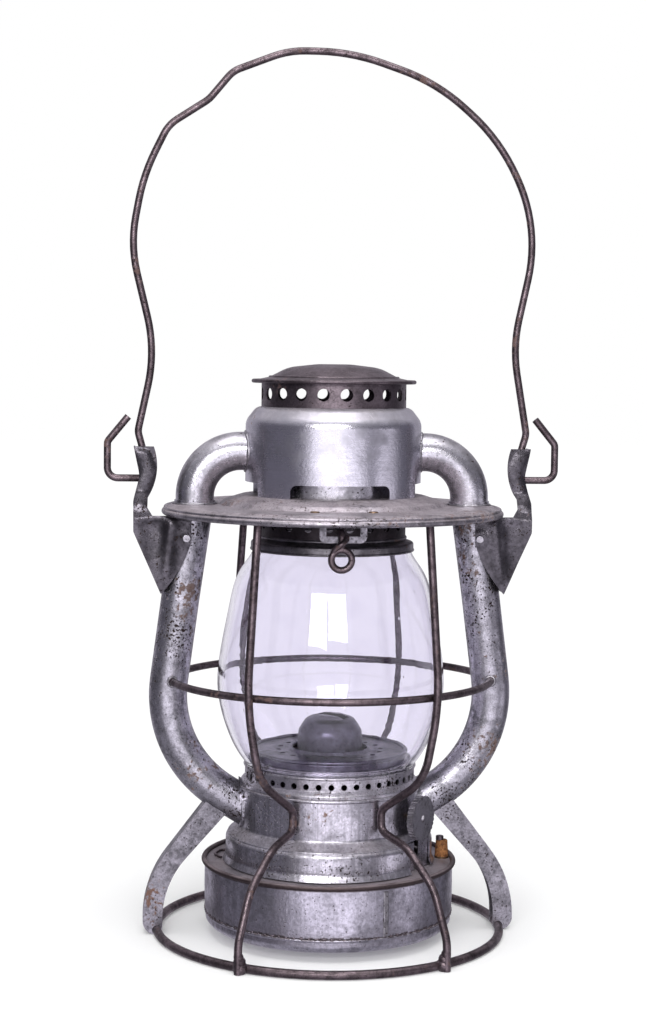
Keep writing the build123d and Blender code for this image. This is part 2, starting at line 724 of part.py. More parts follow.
with BuildPart() as fount_catch:
    add(
        bent_rod(
            [(-40, 17.2, 36.1), (-52.5, 17.2, 36.1), (-56.0, 9.5, 36.1), (-52.6, 2.0, 36.1)],
            [3.0, 7.0],
            0.6,
        )
    )
fount_catch.part.label = "fount_catch"
export_step(fount_catch.part, "parts/fount_catch.step")

# ---------------------------------------------------------------- filler cork
with BuildPart() as filler_cork:
    with BuildSketch(Plane.XY.offset(33.6)):
        with Locations((FILLER_X, 0)):
            Circle(2.22)
    extrude(amount=36.4 - 33.6)
    with BuildSketch(Plane.XY.offset(36.4)):
        with Locations((FILLER_X, 0)):
            Circle(3.4)
    extrude(amount=8.0, taper=4)
    fillet(filler_cork.faces().sort_by(Axis.Z)[-1].edges(), 0.6)
filler_cork.part.label = "filler_cork"
export_step(filler_cork.part, "parts/filler_cork.step")

with BuildPart() as cork_cap:
    with Locations((FILLER_X - 1.0, 0, 44.4)):
        Cylinder(1.9, 2.0, align=(Align.CENTER, Align.CENTER, Align.MIN))
    fillet(cork_cap.faces().sort_by(Axis.Z)[-1].edges(), 0.5)
cork_cap.part.label = "cork_cap"
export_step(cork_cap.part, "parts/cork_cap.step")

# ---------------------------------------------------------------- burner
with BuildPart(wick_plane) as wick_passage:
    with Locations((0, 0, 36)):
        Box(18.2, 3.8, 20)

with BuildPart() as burner_base:
    with BuildSketch(Plane.XY.offset(33.2)):
        Circle(BURNER_COLLAR_RADIUS - 0.1)
    extrude(amount=BURNER_COLLAR_HEIGHT - 33.2)
    with BuildSketch(Plane.XY.offset(BURNER_COLLAR_HEIGHT)):
        Circle(17.0)
    extrude(amount=1.2)
    add(wick_passage.part, mode=Mode.SUBTRACT)
burner_base.part.label = "burner_base"
export_step(burner_base.part, "parts/burner_base.step")

with BuildPart(wick_plane) as wick_tube:
    with BuildSketch(wick_plane.offset(30)):
        Rectangle(17.8, 3.4)
        Rectangle(WICK_WIDTH + 0.6, WICK_THICKNESS + 0.6, mode=Mode.SUBTRACT)
    extrude(amount=71)
    with Locations((4.5, 1.7, SPINDLE_HEIGHT), (-4.5, 1.7, SPINDLE_HEIGHT)):
        Box(2.4, 1.6, 9.0, mode=Mode.SUBTRACT)
wick_tube.part.label = "wick_tube"
export_step(wick_tube.part, "parts/wick_tube.step")

with BuildPart() as burner_body:
    add(spun_sheet([(15.4, 39.7), (17.2, 62.0), (15.9, 84.2)], [40.0], thickness=THIN_SHEET))
    radial_holes(16.0, 46.0, 1.5, 16)
    radial_holes(16.6, 74.0, 1.5, 16)
    with BuildSketch(spindle_plane):
        Circle(SPINDLE_RADIUS + 0.4)
    extrude(amount=25, mode=Mode.SUBTRACT)
burner_body.part.label = "burner_body"
export_step(burner_body.part, "parts/burner_body.step")

with BuildPart(wick_plane) as flame_slot:
    with Locations((0, 0, 101)):
        Box(19.0, 5.6, 14, align=(Align.CENTER, Align.CENTER, Align.MIN))

with BuildPart() as burner_dome:
    add(
        spun_sheet(
            [(15.9, 84.5), (15.2, 99.5), (11.6, 105.0), (6.0, 106.8), (0.0, 106.8)],
            [6.0, 5.0, 5.0],
            thickness=THIN_SHEET,
        )
    )
    add(flame_slot.part, mode=Mode.SUBTRACT)
burner_dome.part.label = "burner_dome"
export_step(burner_dome.part, "parts/burner_dome.step")

# ---------------------------------------------------------------- wick and wick raiser
with BuildPart(wick_plane) as wick:
    with Locations((0, 0, 12)):
        Box(WICK_WIDTH, WICK_THICKNESS, 91, align=(Align.CENTER, Align.CENTER, Align.MIN))
wick.part.label = "wick"
export_step(wick.part, "parts/wick.step")

with BuildPart() as wick_spindle:
    with BuildSketch(spindle_plane.offset(-9)):
        Circle(SPINDLE_RADIUS)
    extrude(amount=KNOB_FACE - 0.9 + 9)
wick_spindle.part.label = "wick_spindle"
export_step(wick_spindle.part, "parts/wick_spindle.step")

TOOTH_TIP = SPINDLE_OFFSET - WICK_THICKNESS / 2 - 0.12
TEETH = 10
with BuildPart() as wick_wheels:
    for wheel_start in (-5.0, 4.0):
        with BuildSketch(spindle_plane.offset(wheel_start)):
            Circle(2.0)
            with PolarLocations(0, TEETH):
                with Locations((TOOTH_TIP, 0)):
                    Triangle(a=1.0, b=1.7, c=1.7, rotation=-90, align=(Align.CENTER, Align.MAX))
            Circle(SPINDLE_RADIUS, mode=Mode.SUBTRACT)
        extrude(amount=1.0)
wick_wheels.part.label = "wick_wheels"
export_step(wick_wheels.part, "parts/wick_wheels.step")

with BuildPart() as wick_knob:
    with BuildSketch(spindle_plane.offset(KNOB_BACK)):
        Circle(KNOB_RADIUS)
        with PolarLocations(KNOB_RADIUS + 0.15, 30):
            Circle(0.6, mode=Mode.SUBTRACT)
    extrude(amount=KNOB_FACE - KNOB_BACK)
    with BuildSketch(spindle_plane.offset(KNOB_BACK)):
        Circle(KNOB_RADIUS - 1.3)
        Circle(3.0, mode=Mode.SUBTRACT)
    extrude(amount=KNOB_FACE - KNOB_BACK - 0.9, mode=Mode.SUBTRACT)
    with BuildSketch(spindle_plane.offset(KNOB_BACK)):
        Circle(SPINDLE_RADIUS)
    extrude(amount=KNOB_FACE - KNOB_BACK, mode=Mode.SUBTRACT)
wick_knob.part.label = "wick_knob"
export_step(wick_knob.part, "parts/wick_knob.step")

with BuildPart() as knob_rivet:
    with BuildSketch(spindle_plane.offset(KNOB_FACE - 0.9)):
        Circle(SPINDLE_RADIUS)
    extrude(amount=0.9)
    with BuildSketch(spindle_plane.offset(KNOB_FACE)):
        Circle(1.9)
    extrude(amount=0.8, taper=35)
knob_rivet.part.label = "knob_rivet"
export_step(knob_rivet.part, "parts/knob_rivet.step")

# ---------------------------------------------------------------- bail
# corners of the hand-bent wire as (x, z), from the left hook over the top to the right hook,
# each with its bend radius
bail_corners = [
    ((-108.8, 239.5), 3.5),
    ((-108.8, PIVOT_HEIGHT), 5.0),
    ((-88.0, PIVOT_HEIGHT), 3.2),
    ((-94.3, 244.5), 8.0),
    ((-86.0, 283.0), 75.0),
    ((-98.3, 333.4), 65.0),
    ((-92.1, 366.7), 90.0),
    ((-80.5, 390.3), 18.0),
    ((-61.3, 402.7), 15.0),
    ((-50.0, 416.2), 14.0),
    ((-23.5, 426.5), 45.0),
    ((6.7, 426.5), 100.0),
    ((48.0, 412.9), 90.0),
    ((79.2, 386.2), 90.0),
    ((99.3, 344.4), 75.0),
    ((87.2, 287.0), 70.0),
    ((94.5, 244.5), 8.0),
    ((88.0, PIVOT_HEIGHT), 3.2),
    ((108.8, PIVOT_HEIGHT), 5.0),
    ((108.8, 239.5), 3.5),
]
bail_left_tip = (-98.9, 251.6)
bail_right_tip = (98.9, 251.6)
bail_points = [bail_left_tip] + [corner for corner, bend in bail_corners] + [bail_right_tip]
with BuildPart() as bail:
    add(
        bent_rod(
            [(x, 0, z) for x, z in bail_points],
            [bend for corner, bend in bail_corners],
            BAIL_WIRE_RADIUS,
        )
    )
bail.part.label = "bail"
export_step(bail.part, "parts/bail.step")
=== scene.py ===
import math

import bmesh
import bpy
from mathutils import Matrix, Vector, noise


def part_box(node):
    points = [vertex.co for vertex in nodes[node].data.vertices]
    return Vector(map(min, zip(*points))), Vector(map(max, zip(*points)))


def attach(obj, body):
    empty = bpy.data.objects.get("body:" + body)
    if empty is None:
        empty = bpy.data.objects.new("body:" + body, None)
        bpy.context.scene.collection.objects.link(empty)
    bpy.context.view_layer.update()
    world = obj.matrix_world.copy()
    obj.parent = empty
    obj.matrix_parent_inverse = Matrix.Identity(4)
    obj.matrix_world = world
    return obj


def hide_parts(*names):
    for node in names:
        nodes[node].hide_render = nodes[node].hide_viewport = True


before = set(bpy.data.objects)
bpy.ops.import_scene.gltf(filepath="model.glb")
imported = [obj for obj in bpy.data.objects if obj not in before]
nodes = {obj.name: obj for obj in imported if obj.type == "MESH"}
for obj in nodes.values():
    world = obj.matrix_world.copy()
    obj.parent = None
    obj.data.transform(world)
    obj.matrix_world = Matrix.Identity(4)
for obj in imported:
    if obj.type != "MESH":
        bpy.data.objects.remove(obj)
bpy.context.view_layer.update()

MM = 0.001

# the floor is plain white beyond FLOOR_FAR, and a shaded surface inside FLOOR_NEAR
FLOOR_NEAR = 0.11
FLOOR_FAR = 0.36
FLOOR_REACH = 6.0

# heights read from the frame, in metres
FOUNT_BEAD_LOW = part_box("fount_wall")[1][2] - 2.9 * MM
FOUNT_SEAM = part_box("fount_bottom")[1][2] + 0.2 * MM
WICK_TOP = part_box("wick")[1][2]


# ---------------------------------------------------------------- material helper
class Shader:
    """One material's node tree, with a short call for each kind of node used here.

    Textures use object coordinates, so a scale reads as features per metre.
    """

    def __init__(self, name):
        self.material = bpy.data.materials.new(name)
        self.material.use_nodes = True
        self.tree = self.material.node_tree
        self.bsdf = self.tree.nodes["Principled BSDF"]
        texture_coordinate = self.node("ShaderNodeTexCoord")
        self.coords = texture_coordinate.outputs["Object"]
        self.normal = texture_coordinate.outputs["Normal"]

    def node(self, kind, **settings):
        made = self.tree.nodes.new(kind)
        for key, value in settings.items():
            setattr(made, key, value)
        return made

    def feed(self, socket, value):
        """Link an output, or set a plain value, on an input socket."""
        if isinstance(value, bpy.types.NodeSocket):
            self.tree.links.new(value, socket)
        else:
            socket.default_value = value

    def mapped(self, stretch=(1.0, 1.0, 1.0), turn=(0.0, 0.0, 0.0)):
        """Object coordinates turned (degrees) and then stretched along the axes."""
        turned = self.node("ShaderNodeMapping")
        self.feed(turned.inputs["Vector"], self.coords)
        turned.inputs["Rotation"].default_value = [math.radians(angle) for angle in turn]
        stretched = self.node("ShaderNodeMapping")
        self.feed(stretched.inputs["Vector"], turned.outputs["Vector"])
        stretched.inputs["Scale"].default_value = stretch
        return stretched.outputs["Vector"]

    def noise(self, scale, detail=4.0, roughness=0.55, distortion=0.0, vector=None):
        made = self.node("ShaderNodeTexNoise")
        self.feed(made.inputs["Vector"], vector or self.coords)
        made.inputs["Scale"].default_value = scale
        made.inputs["Detail"].default_value = detail
        made.inputs["Roughness"].default_value = roughness
        made.inputs["Distortion"].default_value = distortion
        return made.outputs["Fac"]

    def cells(self, scale, vector=None):
        made = self.node("ShaderNodeTexVoronoi")
        self.feed(made.inputs["Vector"], vector or self.coords)
        made.inputs["Scale"].default_value = scale
        return made.outputs["Distance"]

    def axis(self, vector, index):
        made = self.node("ShaderNodeSeparateXYZ")
        self.feed(made.inputs[0], vector)
        return made.outputs[index]

    def height(self):
        return self.axis(self.coords, 2)

    def remap(self, value, low, high, to_low=0.0, to_high=1.0):
        made = self.node("ShaderNodeMapRange", interpolation_type="SMOOTHSTEP")
        self.feed(made.inputs["Value"], value)
        made.inputs["From Min"].default_value = low
        made.inputs["From Max"].default_value = high
        made.inputs["To Min"].default_value = to_low
        made.inputs["To Max"].default_value = to_high
        return made.outputs["Result"]

    def math(self, operation, first, second=0.0):
        made = self.node("ShaderNodeMath", operation=operation)
        self.feed(made.inputs[0], first)
        self.feed(made.inputs[1], second)
        return made.outputs[0]

    def weighted(self, *pairs):
        """Sum of values, each given with its weight."""
        total = self.math("MULTIPLY", *pairs[0])
        for value, weight in pairs[1:]:
            total = self.math("ADD", total, self.math("MULTIPLY", value, weight))
        return total

    def mix(self, factor, first, second):
        """Mix of two colours, each an (r, g, b) or a link."""
        made = self.node("ShaderNodeMix", data_type="RGBA")
        self.feed(made.inputs["Factor"], factor)
        for socket, colour in ((made.inputs[6], first), (made.inputs[7], second)):
            self.feed(socket, colour if isinstance(colour, bpy.types.NodeSocket) else (*colour, 1.0))
        return made.outputs[2]

    def blend(self, factor, first, second):
        """Mix of two numbers or links."""
        made = self.node("ShaderNodeMix", data_type="FLOAT")
        self.feed(made.inputs["Factor"], factor)
        self.feed(made.inputs[2], first)
        self.feed(made.inputs[3], second)
        return made.outputs[0]

    def bump(self, height, distance, under=None):
        made = self.node("ShaderNodeBump")
        self.feed(made.inputs["Height"], height)
        made.inputs["Distance"].default_value = distance
        if under is not None:
            self.feed(made.inputs["Normal"], under)
        return made.outputs["Normal"]

    def facing_up(self, low, high):
        """1 where the surface faces up, 0 where it doesn't."""
        return self.remap(self.axis(self.normal, 2), low, high)


RUST_BROWN = (0.115, 0.052, 0.032)
SOOT_BROWN = (0.050, 0.036, 0.034)
DUST_GREY = (0.335, 0.275, 0.300)


def aged_metal(
    name,
    tint,
    depth=0.35,
    roughness=(0.30, 0.42),
    cloud_scale=70.0,
    frost=0.3,
    pits=0.5,
    rust=0.3,
    rust_colour=RUST_BROWN,
    spun=0.0,
    streaks=0.0,
    scratches=0.0,
    dust=0.0,
    dents=0.3,
    dark_above=None,
    dark_seam=None,
):
    """Old tinned steel. The tin is cloudy and finely frosted, pitted dark, and rusty in places.

    depth is how much darker the clouds go, spun gives lathe lines round the upright axis, and
    streaks run up and down. dark_above browns the metal over a height, and dark_seam leaves a
    broken dark line at one.
    """
    s = Shader(name)
    clouds = s.noise(cloud_scale, detail=6.0, roughness=0.6, distortion=0.4)
    fine = s.noise(cloud_scale * 9.0, detail=4.0, roughness=0.65)
    shade = s.weighted((s.remap(clouds, 0.34, 0.64), 1.0 - frost), (s.remap(fine, 0.36, 0.62), frost))
    dark = tuple(channel * (1.0 - depth) for channel in tint)
    colour = s.mix(shade, dark, tint)
    rough = s.blend(shade, roughness[1], roughness[0])

    if spun:
        lines = s.noise(34.0, detail=7.0, roughness=0.75, vector=s.mapped((0.35, 0.35, 45.0)))
        colour = s.mix(s.remap(lines, 0.45, 0.72, 0.0, spun), colour, dark)
        rough = s.math("ADD", rough, s.remap(lines, 0.3, 0.7, 0.0, 0.12 * spun))
    if streaks:
        runs = s.noise(520.0, detail=3.0, roughness=0.6, vector=s.mapped((1.0, 1.0, 0.045)))
        colour = s.mix(s.remap(runs, 0.42, 0.66, 0.0, streaks), colour, dark)

    # grime lies in wide worn patches
    grime = s.weighted(
        (s.noise(cloud_scale * 0.42, detail=5.0), 0.6),
        (s.noise(cloud_scale * 3.1), 0.4),
    )
    grime_mask = s.remap(grime, 0.50, 0.64, 0.0, 0.55)
    colour = s.mix(grime_mask, colour, tuple(0.42 * channel for channel in dark))
    rough = s.blend(grime_mask, rough, 0.5)

    # pits crowd together in some areas and leave others clean
    pit_mask = 0.0
    if pits:
        crowd = s.remap(s.noise(42.0, detail=4.0, roughness=0.6), 0.40, 0.68, 0.0, 0.14 * pits)
        speck = s.math("ADD", s.noise(880.0, detail=3.0, roughness=0.55), crowd)
        pit_mask = s.remap(speck, 0.66, 0.71)
        colour = s.mix(pit_mask, colour, SOOT_BROWN)
        rough = s.blend(pit_mask, rough, 0.65)

    # rust comes as a few blotches with freckles round them
    rust_field = s.weighted(
        (s.noise(30.0, detail=6.0, roughness=0.6), 0.65),
        (s.noise(420.0, detail=4.0), 0.35),
    )
    rust_edge = 0.66 - 0.14 * rust
    rust_mask = s.remap(rust_field, rust_edge, rust_edge + 0.05, 0.0, 0.85)
    rust_tone = s.mix(s.noise(620.0), rust_colour, tuple(1.7 * channel for channel in rust_colour))
    colour = s.mix(rust_mask, colour, rust_tone)
    rough = s.blend(rust_mask, rough, 0.75)
    bare = s.math("SUBTRACT", 1.0, s.math("MULTIPLY", rust_mask, 0.8))

    # a few bright scratches cross at two angles
    if scratches:
        for turn in ((20.0, 35.0, 10.0), (-35.0, 15.0, 60.0)):
            hair = s.noise(30.0, detail=2.0, vector=s.mapped((46.0, 46.0, 1.0), turn))
            where = s.remap(s.noise(26.0), 0.50, 0.60)
            line = s.math("MULTIPLY", s.remap(hair, 0.66, 0.70, 0.0, scratches), where)
            colour = s.mix(line, colour, (0.80, 0.78, 0.84))
            rough = s.blend(line, rough, 0.2)

    marks = []
    if dark_above is not None:
        ragged_height = s.weighted((s.height(), 1.0), (fine, 0.001))
        marks.append(s.remap(ragged_height, dark_above, dark_above + 0.0008))
    if dark_seam is not None:
        off_seam = s.math("ABSOLUTE", s.math("SUBTRACT", s.height(), dark_seam))
        line = s.remap(off_seam, 0.0005, 0.0013, 0.85, 0.0)
        marks.append(s.math("MULTIPLY", line, s.remap(s.noise(430.0, detail=4.0), 0.46, 0.54)))
    for mark in marks:
        colour = s.mix(mark, colour, s.mix(fine, (0.060, 0.044, 0.044), (0.125, 0.095, 0.098)))
        rough = s.blend(mark, rough, 0.5)

    if dust:
        drifts = s.weighted((s.noise(26.0, detail=5.0, roughness=0.6), 0.6), (clouds, 0.4))
        settled = s.math("MULTIPLY", s.facing_up(0.25, 0.85), s.remap(drifts, 0.38, 0.60, 0.25, 1.0))
        settled = s.math("MULTIPLY", settled, dust)
        colour = s.mix(settled, colour, s.mix(fine, tuple(0.7 * c for c in DUST_GREY), DUST_GREY))
        rough = s.blend(settled, rough, 0.8)
        bare = s.math("MULTIPLY", bare, s.math("SUBTRACT", 1.0, s.math("MULTIPLY", settled, 0.85)))

    s.feed(s.bsdf.inputs["Base Color"], colour)
    s.feed(s.bsdf.inputs["Roughness"], rough)
    s.feed(s.bsdf.inputs["Metallic"], bare)
    surface = s.bump(s.noise(34.0, detail=1.5), 0.0016 * dents)
    surface = s.bump(s.noise(700.0, detail=3.0), 0.00005 + 0.00012 * frost, under=surface)
    raised = s.weighted((pit_mask, -1.0), (rust_mask, 0.7))
    surface = s.bump(raised, 0.00010, under=surface)
    s.feed(s.bsdf.inputs["Normal"], surface)
    return s.material


def glass_material():
    """Old clear glass gone slightly violet, with seeds and waves in it."""
    s = Shader("violet_glass")
    haze = s.remap(s.noise(90.0, detail=5.0), 0.45, 0.75, 0.0, 1.0)
    s.feed(s.bsdf.inputs["Base Color"], s.mix(haze, (0.885, 0.862, 0.950), (0.850, 0.825, 0.925)))
    s.feed(s.bsdf.inputs["Roughness"], s.remap(haze, 0.3, 1.0, 0.0, 0.035))
    s.bsdf.inputs["IOR"].default_value = 1.46
    s.bsdf.inputs["Transmission Weight"].default_value = 1.0
    waves = s.noise(30.0, detail=1.5, vector=s.mapped((1.0, 1.0, 0.35)))
    seeds = s.remap(s.cells(120.0, s.mapped((1.0, 1.0, 0.5))), 0.0, 0.09, 1.0, 0.0)
    s.feed(s.bsdf.inputs["Normal"], s.bump(seeds, 0.0001, under=s.bump(waves, 0.0006)))
    return s.material


def cork_material():
    s = Shader("old_cork")
    grainy = s.noise(600.0, detail=6.0, roughness=0.7)
    colour = s.mix(s.remap(grainy, 0.35, 0.65), (0.13, 0.045, 0.014), (0.42, 0.18, 0.06))
    holes = s.remap(s.cells(900.0), 0.05, 0.25)
    colour = s.mix(holes, (0.05, 0.02, 0.01), colour)
    s.feed(s.bsdf.inputs["Base Color"], colour)
    s.bsdf.inputs["Roughness"].default_value = 0.82
    s.feed(s.bsdf.inputs["Normal"], s.bump(s.math("MULTIPLY", grainy, holes), 0.0004))
    return s.material


def wick_material():
    """Woven cotton, scorched black at its top edge."""
    s = Shader("wick_cotton")
    bands = []
    for direction, scale in (("X", 420.0), ("Z", 380.0)):
        wave = s.node("ShaderNodeTexWave", wave_type="BANDS", bands_direction=direction)
        wave.inputs["Scale"].default_value = scale
        s.feed(wave.inputs["Vector"], s.coords)
        bands.append(wave.outputs["Fac"])
    weave = s.math("MULTIPLY", *bands)
    cloth = s.mix(weave, (0.34, 0.29, 0.22), (0.68, 0.62, 0.50))
    burnt = s.weighted((s.height(), 1.0), (s.noise(300.0), 0.004))
    scorched = s.remap(burnt, WICK_TOP - 5 * MM, WICK_TOP)
    s.feed(s.bsdf.inputs["Base Color"], s.mix(scorched, cloth, (0.012, 0.010, 0.009)))
    s.bsdf.inputs["Roughness"].default_value = 0.95
    s.feed(s.bsdf.inputs["Normal"], s.bump(weave, 0.0003))
    return s.material


def floor_material():
    """Pale floor that runs out into plain white away from the lantern, so it has no horizon."""
    s = Shader("white_floor")
    outward = s.node("ShaderNodeVectorMath", operation="LENGTH")
    s.feed(outward.inputs[0], s.coords)
    away = s.remap(outward.outputs["Value"], FLOOR_NEAR, FLOOR_FAR)
    s.feed(s.bsdf.inputs["Base Color"], s.mix(away, (0.80, 0.80, 0.805), (0.0, 0.0, 0.0)))
    s.bsdf.inputs["Roughness"].default_value = 1.0
    s.bsdf.inputs["Specular IOR Level"].default_value = 0.0
    s.bsdf.inputs["Emission Color"].default_value = (1.0, 1.0, 1.0, 1.0)
    s.feed(s.bsdf.inputs["Emission Strength"], s.blend(away, 0.14, 1.05))
    return s.material


# ---------------------------------------------------------------- materials
materials = {
    "tube": aged_metal(
        "mottled_zinc", (0.56, 0.54, 0.60), 0.6, (0.28, 0.42), cloud_scale=190.0, frost=0.5,
        pits=1.0, rust=0.7, rust_colour=(0.090, 0.046, 0.034), dents=0.5,
    ),
    "leg": aged_metal(
        "grey_zinc", (0.31, 0.295, 0.328), 0.60, (0.28, 0.42), cloud_scale=130.0, frost=0.45,
        pits=0.5, rust=0.4, dents=1.1,
    ),
    # the ears' very dark tint is partly the metal's own darker tone and partly painted shade: it holds
    # down the front lamps' reflection on their forward faces
    "ear": aged_metal(
        "dark_zinc_and_painted_shade", (0.125, 0.115, 0.132), 0.65, (0.22, 0.38), cloud_scale=60.0, frost=0.35,
        pits=0.6, rust=0.5, rust_colour=(0.070, 0.042, 0.036), dents=2.2,
    ),
    "canopy": aged_metal(
        "spun_tin", (0.74, 0.72, 0.80), 0.32, (0.19, 0.27), cloud_scale=34.0, frost=0.2,
        pits=0.0, rust=0.0, spun=0.45, scratches=0.9, dust=0.5, dents=0.14,
    ),
    "elbow": aged_metal(
        "bright_tin", (0.64, 0.62, 0.675), 0.5, (0.22, 0.34), cloud_scale=90.0, frost=0.3,
        pits=0.22, rust=0.1, dust=0.2, dents=0.6,
    ),
    "chamber": aged_metal(
        "pitted_tin", (0.70, 0.67, 0.745), 0.55, (0.24, 0.36), cloud_scale=85.0, frost=0.45,
        pits=0.7, rust=0.2, streaks=0.65, dust=0.35, dents=0.3,
    ),
    "band": aged_metal(
        "speckled_tin", (0.64, 0.61, 0.67), 0.45, (0.28, 0.40), cloud_scale=140.0, frost=0.5,
        pits=1.1, rust=0.55, dents=0.15,
    ),
    "plate": aged_metal(
        "dusty_tin", (0.52, 0.48, 0.525), 0.6, (0.24, 0.38), cloud_scale=110.0, frost=0.4,
        pits=0.8, rust=0.6, rust_colour=(0.095, 0.056, 0.048), dust=0.55, dents=0.5,
    ),
    "dark": aged_metal(
        "dark_tin", (0.200, 0.163, 0.182), 0.55, (0.30, 0.46), cloud_scale=120.0, frost=0.4,
        pits=0.3, rust=0.4, rust_colour=(0.090, 0.052, 0.050), dust=0.12, dents=0.5,
    ),
    "seat": aged_metal(
        "seat_tin", (0.25, 0.235, 0.255), 0.5, (0.30, 0.42), cloud_scale=90.0, frost=0.3,
        pits=0.2, rust=0.15, dents=0.1,
    ),
    "black": aged_metal(
        "sooty_tin", (0.060, 0.050, 0.056), 0.4, (0.40, 0.55), cloud_scale=90.0, frost=0.35,
        pits=0.3, rust=0.2, rust_colour=(0.045, 0.030, 0.028), dents=0.1,
    ),
    "wire": aged_metal(
        "brown_wire", (0.205, 0.160, 0.175), 0.68, (0.32, 0.48), cloud_scale=140.0, frost=0.35,
        pits=0.2, rust=0.6, rust_colour=(0.090, 0.052, 0.047), dents=0.2,
    ),
    "fount": aged_metal(
        "frosted_tin", (0.63, 0.60, 0.69), 0.50, (0.27, 0.40), cloud_scale=78.0, frost=0.55,
        pits=0.08, rust=0.0, streaks=0.35, dust=0.75, dents=0.45,
        dark_above=FOUNT_BEAD_LOW, dark_seam=FOUNT_SEAM,
    ),
    "fount_top": aged_metal(
        "dusty_fount_tin", (0.42, 0.39, 0.43), 0.4, (0.36, 0.5), cloud_scale=70.0, frost=0.3,
        pits=0.4, rust=0.2, dust=0.8, dents=0.3,
    ),
    "burner": aged_metal(
        "burner_tin", (0.200, 0.188, 0.236), 0.5, (0.32, 0.45), cloud_scale=90.0, frost=0.3,
        pits=0.2, rust=0.05, dents=0.2,
    ),
    "knob": aged_metal(
        "dull_tin", (0.43, 0.41, 0.45), 0.4, (0.34, 0.46), cloud_scale=180.0, frost=0.3,
        pits=0.2, rust=0.25, dents=0.1,
    ),
    "rivet": aged_metal(
        "worn_rivet", (0.46, 0.44, 0.48), 0.4, (0.25, 0.38), cloud_scale=400.0, frost=0.3,
        pits=0.2, rust=0.2, dents=0.1,
    ),
    "solder": aged_metal(
        "dull_solder", (0.46, 0.44, 0.475), 0.5, (0.34, 0.50), cloud_scale=300.0, frost=0.5,
        pits=0.6, rust=0.3, dents=0.2,
    ),
    "brass": aged_metal(
        "brown_brass", (0.30, 0.20, 0.13), 0.5, (0.35, 0.5), cloud_scale=220.0, frost=0.3,
        pits=0.3, rust=0.3,
    ),
    "glass": glass_material(),
    "cork": cork_material(),
    "wick": wick_material(),
}

looks = {
    "tube": ["side_tube_left", "side_tube_right", "tube_collar_left", "tube_collar_right"],
    "leg": ["leg_left", "leg_right", "lift_strap"],
    "ear": ["ear_left", "ear_right"],
    "canopy": ["canopy"],
    "elbow": ["elbow_left", "elbow_right", "flue"],
    "chamber": ["air_chamber"],
    "band": ["gallery_band"],
    "plate": ["guard_plate"],
    "dark": ["cap", "cap_collar", "cork_cap"],
    "seat": ["globe_seat"],
    "black": ["dome_ring"],
    "wire": ["base_ring", "guard_wire_front_left", "guard_wire_front_right", "guard_wire_rear_left",
             "guard_wire_rear_right", "guard_hoop_front", "guard_hoop_rear", "bail", "lift_eye",
             "fount_catch"],
    "fount": ["fount_wall", "fount_bottom"],
    "fount_top": ["fount_top"],
    "burner": ["burner_body", "burner_dome", "burner_deck"],
    "knob": ["wick_knob"],
    "rivet": ["knob_rivet", "ear_rivets"],
    "brass": ["filler_neck", "burner_base", "wick_tube", "wick_wheels", "wick_spindle", "strap_rivets"],
    "glass": ["globe"],
    "cork": ["filler_cork"],
    "wick": ["wick"],
}

for look, names in looks.items():
    for name in names:
        slots = nodes[name].data.materials
        slots.clear()
        slots.append(materials[look])


# ---------------------------------------------------------------- small pieces: solder, seams, twists
PIPE_RADIUS = 9.25 * MM          # side tubes and elbows
TUBE_TOP_X = 66.8 * MM
HOOP_HEIGHT = 124.5 * MM
HOOP_END = (77.2 * MM, 9.2 * MM)
HOOP_END_AXIS = (0.215, 0.977)
GUARD_HEAD_RADIUS = 68.6 * MM
GUARD_HEAD_AZIMUTHS = (35.0, 145.0, 215.0, 325.0)
FOUNT_SEAM_AZIMUTH = 21.0        # degrees from the front towards +X
FOUNT_CRIMPS = 104
FOUNT_CRIMP_RADIUS = 60.55 * MM
EAR_TIP_HEIGHT = 167.0           # the ear's own measures are in millimetres
EAR_RIVET = (70.8, 193.8)
EAR_WAIST_HEIGHT = 205.0         # the wing is below this, the tab above
HOOP_WIRE_RADIUS = 1.8 * MM
PLATE_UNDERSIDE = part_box("side_tube_right")[1][2]
ELBOW_LOW, ELBOW_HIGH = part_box("elbow_right")
ELBOW_HEIGHT = ELBOW_HIGH[2] - PIPE_RADIUS
CANOPY_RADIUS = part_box("canopy")[1][1]


def piece(name, mesh, look, body):
    """Finish a bmesh as a smooth-shaded object with its material, slot and body."""
    bmesh.ops.recalc_face_normals(mesh, faces=mesh.faces)
    data = bpy.data.meshes.new(name)
    mesh.to_mesh(data)
    mesh.free()
    data.shade_smooth()
    data.materials.append(materials[look])
    made = bpy.data.objects.new(name, data)
    bpy.context.scene.collection.objects.link(made)
    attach(made, body)
    return made


def add_bead(mesh, points, radius, closed=False, lumps=0.0, sides=10):
    """Round bead along points, closed or with tapered ends, its thickness varying by lumps."""
    rings = []
    last = len(points) - 1
    for index, point in enumerate(points):
        before = points[index - 1] if closed or index > 0 else point
        after = points[(index + 1) % len(points)] if closed or index < last else point
        along = (after - before).normalized()
        side = along.cross(Vector((0.31, 0.17, 0.93))).normalized()
        other = side.cross(along)
        thick = radius * (1.0 + lumps * noise.noise(point * 420.0))
        if not closed and index in (0, last):
            thick *= 0.35
        ring = []
        for step in range(sides):
            angle = 2 * math.pi * step / sides
            outward = math.cos(angle) * side + math.sin(angle) * other
            ring.append(mesh.verts.new(point + thick * outward))
        rings.append(ring)
    spans = list(zip(rings, rings[1:]))
    if closed:
        spans.append((rings[-1], rings[0]))
    else:
        mesh.faces.new(rings[0])
        mesh.faces.new(reversed(rings[-1]))
    for ring, following in spans:
        for step in range(sides):
            after = (step + 1) % sides
            mesh.faces.new((ring[step], ring[after], following[after], following[step]))


def circle_points(centre, axis, radius, count=48):
    """Points of a circle round an axis."""
    axis = Vector(axis).normalized()
    side = axis.orthogonal().normalized()
    other = axis.cross(side)
    angles = [2 * math.pi * step / count for step in range(count)]
    return [Vector(centre) + radius * (math.cos(a) * side + math.sin(a) * other) for a in angles]


